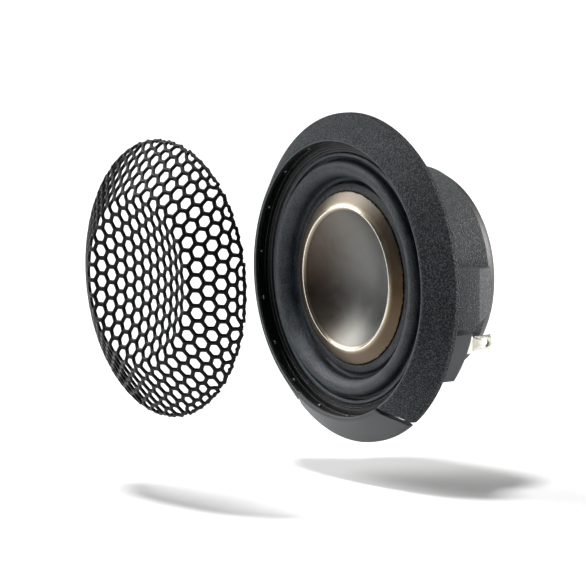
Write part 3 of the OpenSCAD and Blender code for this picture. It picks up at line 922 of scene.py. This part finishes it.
ends = []
for corner in (side_id, (side_id + 1) % 6):
    u = centre_u[cell_id] + corner_u[corner]
    v = centre_v[cell_id] + corner_v[corner]
    ends.append((u, v, *corner_lean(u, v)))
(u0, v0, lu0, lv0, touching), (u1, v1, lu1, lv1, _) = ends
q = np.linspace(0, 1, PER_SIDE + 1)[None, :, None]
base_u = u0[:, None, None] * (1 - q) + u1[:, None, None] * q
base_v = v0[:, None, None] * (1 - q) + v1[:, None, None] * q
out_u = np.cos(side_middle[side_id])[:, None, None]
out_v = np.sin(side_middle[side_id])[:, None, None]
end_weight = np.clip(np.abs(q - 0.5) * 2, 0, 1) ** 4
start_half = (q < 0.5)
end_u = np.where(start_half, lu0[:, None, None], lu1[:, None, None])
end_v = np.where(start_half, lv0[:, None, None], lv1[:, None, None])
lean_u = end_u * end_weight + out_u * (1 - end_weight)
lean_v = end_v * end_weight + out_v * (1 - end_weight)
base_u, base_v = gathered(base_u, base_v)
edge_u = base_u + lean_u * STRAND / 2 * np.sin(turn)
edge_v = base_v + lean_v * STRAND / 2 * np.sin(turn)
edge = press(edge_u, edge_v, THICK / 2 * np.cos(turn) + 0 * edge_u)
offset = net.reshape(-1, 3).shape[0]
edge_faces = [grid_faces(PER_SIDE + 1, OVER, False, False, offset + k * (PER_SIDE + 1) * OVER)
              for k in range(edge.shape[0])]

stub_at = touching == 2
su, sv, slu, slv = u0[stub_at], v0[stub_at], lu0[stub_at], lv0[stub_at]
su, sv = gathered(su, sv)
stub_len = np.clip(RIM_S - np.hypot(su, sv), 0.45, 0.9)[:, None, None]
STUB_ROWS, STUB_ROUND = 6, 10
STUB_POINTS = STUB_ROWS * STUB_ROUND
along = np.linspace(0, 1, STUB_ROWS)[None, :, None]
ringwise = np.linspace(0, 2 * np.pi, STUB_ROUND, endpoint=False)[None, None, :]
thin = np.array([0.8, 0.8, 0.76, 0.7, 0.5, 0.0])[None, :, None] * STRAND / 2
su, sv, slu, slv = (x[:, None, None] for x in (su, sv, slu, slv))
stub_u = su + slu * stub_len * along - slv * thin * np.cos(ringwise)
stub_v = sv + slv * stub_len * along + slu * thin * np.cos(ringwise)
stub = press(stub_u, stub_v, thin * 0.8 * np.sin(ringwise) + 0 * stub_u)
stub_offset = offset + edge.reshape(-1, 3).shape[0]
stub_starts = [stub_offset + k * STUB_POINTS for k in range(stub.shape[0])]
stub_faces = [grid_faces(STUB_ROWS, STUB_ROUND, False, True, start) for start in stub_starts]
net_points = np.concatenate([net.reshape(-1, 3), edge.reshape(-1, 3), stub.reshape(-1, 3)])
faces = np.concatenate(net_faces + edge_faces + stub_faces).tolist()
faces += [list(range(start, start + STUB_ROUND)) for start in stub_starts]
grille = piece("mesh_grille", net_points, faces, body="grille", slot="grille_metal",
               replaces=("grille_mesh",))
face_outwards(grille)
print(len(cell_id), "cut sides,", stub.shape[0], "stubs")

# %% [markdown]
# The grille is painted satin black. The paint is a little thin on the high parts, so it is
# slightly uneven in gloss and tone.

# %% Grille paint


def black_paint():
    m, nodes, links, shader, place = new_material("grille_paint", 0.42, 0.0, Specular_IOR_Level=0.14)
    wash = noise(nodes, links, place, 420.0, 4.0, 0.6)
    peel = noise(nodes, links, place, 4200.0, 3.0, 0.6)
    links.new(ramp(nodes, links, wash, [(0.3, (0.001, 0.0011, 0.0012)), (0.75, (0.003, 0.0032, 0.0036))]),
              shader.inputs["Base Color"])
    links.new(spread(nodes, links, peel, 0.3, 0.7, 0.3, 0.5), shader.inputs["Roughness"])
    bump(nodes, links, shader, peel, 0.3, 0.00008)
    return m


put_on(grille, black_paint())

# %% [markdown]
# ## Hidden pieces
# The motor, the coil, the leads and the terminal board keep their CAD shapes. They show only
# when the driver is taken apart, but each still gets its own finish.

# %% Hidden pieces


def plain_metal(name, dark, light, rough, scale=900.0):
    m, nodes, links, shader, place = new_material(name, rough, 1.0)
    cloud = noise(nodes, links, place, scale, 4.0, 0.6)
    grain = noise(nodes, links, place, scale * 6, 2.0, 0.5)
    links.new(ramp(nodes, links, cloud, [(0.3, dark), (0.7, light)]), shader.inputs["Base Color"])
    links.new(spread(nodes, links, grain, 0.3, 0.7, rough - 0.08, rough + 0.1), shader.inputs["Roughness"])
    bump(nodes, links, shader, grain, 0.1, 0.00005)
    return m


def plain_matter(name, dark, light, rough, scale, depth):
    m, nodes, links, shader, place = new_material(name, rough)
    cloud = noise(nodes, links, place, scale, 5.0, 0.65)
    links.new(ramp(nodes, links, cloud, [(0.3, dark), (0.7, light)]), shader.inputs["Base Color"])
    links.new(spread(nodes, links, cloud, 0.3, 0.7, rough - 0.06, rough + 0.08), shader.inputs["Roughness"])
    bump(nodes, links, shader, cloud, depth, 0.0002)
    return m


zinc = plain_metal("zinc_steel", (0.36, 0.36, 0.37), (0.52, 0.52, 0.53), 0.34)
nickel = plain_metal("nickel_plate", (0.5, 0.49, 0.47), (0.62, 0.61, 0.58), 0.24)
copper = plain_metal("copper_skin", (0.62, 0.28, 0.14), (0.82, 0.42, 0.24), 0.3)
winding = plain_metal("enamelled_wire", (0.42, 0.16, 0.06), (0.62, 0.27, 0.12), 0.28, 2400.0)
film = plain_matter("former_film", (0.40, 0.22, 0.05), (0.56, 0.34, 0.10), 0.3, 1200.0, 0.05)
felt = plain_matter("felt", (0.50, 0.50, 0.46), (0.76, 0.75, 0.70), 0.9, 3000.0, 0.8)
laminate = plain_matter("laminate", (0.20, 0.11, 0.04), (0.34, 0.20, 0.08), 0.5, 1500.0, 0.15)
hidden = {
    "coil_former": film, "voice_coil": winding, "chassis": body_plastic, "pole_plate": zinc,
    "copper_cap": copper, "magnet": nickel, "pot_yoke": zinc, "damping_pad": felt,
    "terminal_board": laminate, "terminal_rivets": tin_plate, "lead_positive": copper,
    "lead_negative": copper,
}
for node, material in hidden.items():
    put_on(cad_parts[node], material)
print(len(hidden), "hidden nodes finished")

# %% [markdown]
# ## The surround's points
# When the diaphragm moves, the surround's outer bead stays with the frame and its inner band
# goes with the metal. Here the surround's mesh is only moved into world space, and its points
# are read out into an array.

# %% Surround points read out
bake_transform(surround)
count = len(surround.data.vertices)
place = np.empty(count * 3, np.float32)
surround.data.vertices.foreach_get("co", place)

# %% [markdown]
# ## Floor and light
# The tweeter is shown against plain white, over a floor that takes a soft shadow. The light is
# a spot lamp high overhead, a large soft lamp at the upper left, and another low behind; the
# side where the viewer stands is left dark, so that the flank of the ring stays dark.

# %% Floor
FLOOR_Z = -36.0 * MM


def backdrop():
    """A very wide flat sheet of pale paper."""
    half = 6.0
    mesh = bpy.data.meshes.new("floor")
    corners = [(x * half, y * half, FLOOR_Z) for x, y in ((-1, -1), (1, -1), (1, 1), (-1, 1))]
    mesh.from_pydata(corners, [], [(0, 1, 2, 3)])
    obj = bpy.data.objects.new("floor", mesh)
    bpy.context.scene.collection.objects.link(obj)
    m, nodes, links, shader, place = new_material("pale_paper", 0.9, Specular_IOR_Level=0.1)
    tooth = noise(nodes, links, place, 40.0, 3.0)
    links.new(ramp(nodes, links, tooth, [(0.3, (0.93, 0.93, 0.93)), (0.7, (0.96, 0.96, 0.96))]),
              shader.inputs["Base Color"])
    put_on(obj, m)


backdrop()
print("floor at", FLOOR_Z)

# %% [markdown]
# The lamps are placed one by one. The sky is kept dim, so that dark plastic stays dark.

# %% Lights


def hang_lamp(data, at, look):
    """Put a lamp in its place and turn its -Z axis towards a point, both in metres."""
    obj = bpy.data.objects.new(data.name, data)
    bpy.context.scene.collection.objects.link(obj)
    obj.location = at
    obj.rotation_euler = (Vector(at) - Vector(look)).to_track_quat("Z", "Y").to_euler()
    print("lamp", data.name, "at", at)


def soft_lamp(name, at, look, size, watts):
    """A square area lamp that faces a point."""
    data = bpy.data.lights.new(name, "AREA")
    data.shape, data.size, data.energy = "SQUARE", size, watts
    hang_lamp(data, at, look)


def spot_lamp(name, at, look, radius, reach, watts):
    """A round lamp high up whose cone lights a circle of floor with this reach."""
    data = bpy.data.lights.new(name, "SPOT")
    data.shadow_soft_size, data.energy, data.spot_blend = radius, watts, 0.12
    data.spot_size = 2 * math.atan(reach / (at[2] - look[2]))
    hang_lamp(data, at, look)


spot_lamp("overhead", (-0.25, -0.6, 3.0), (-0.40, 0.30, 0.0), 0.3, 0.80, 290.0)
soft_lamp("upper_left", (-0.86, -0.40, 0.68), (0, 0, 0), 0.7, 11.0)
soft_lamp("rear", (0.25, 1.05, 0.3), (0, 0, 0), 0.5, 12.0)

world = bpy.data.worlds.new("studio")
bpy.context.scene.world = world
world.use_nodes = True
world.node_tree.nodes["Background"].inputs["Color"].default_value = (1, 1, 1, 1)
world.node_tree.nodes["Background"].inputs["Strength"].default_value = 0.04
bpy.context.scene.view_settings.view_transform = "Standard"
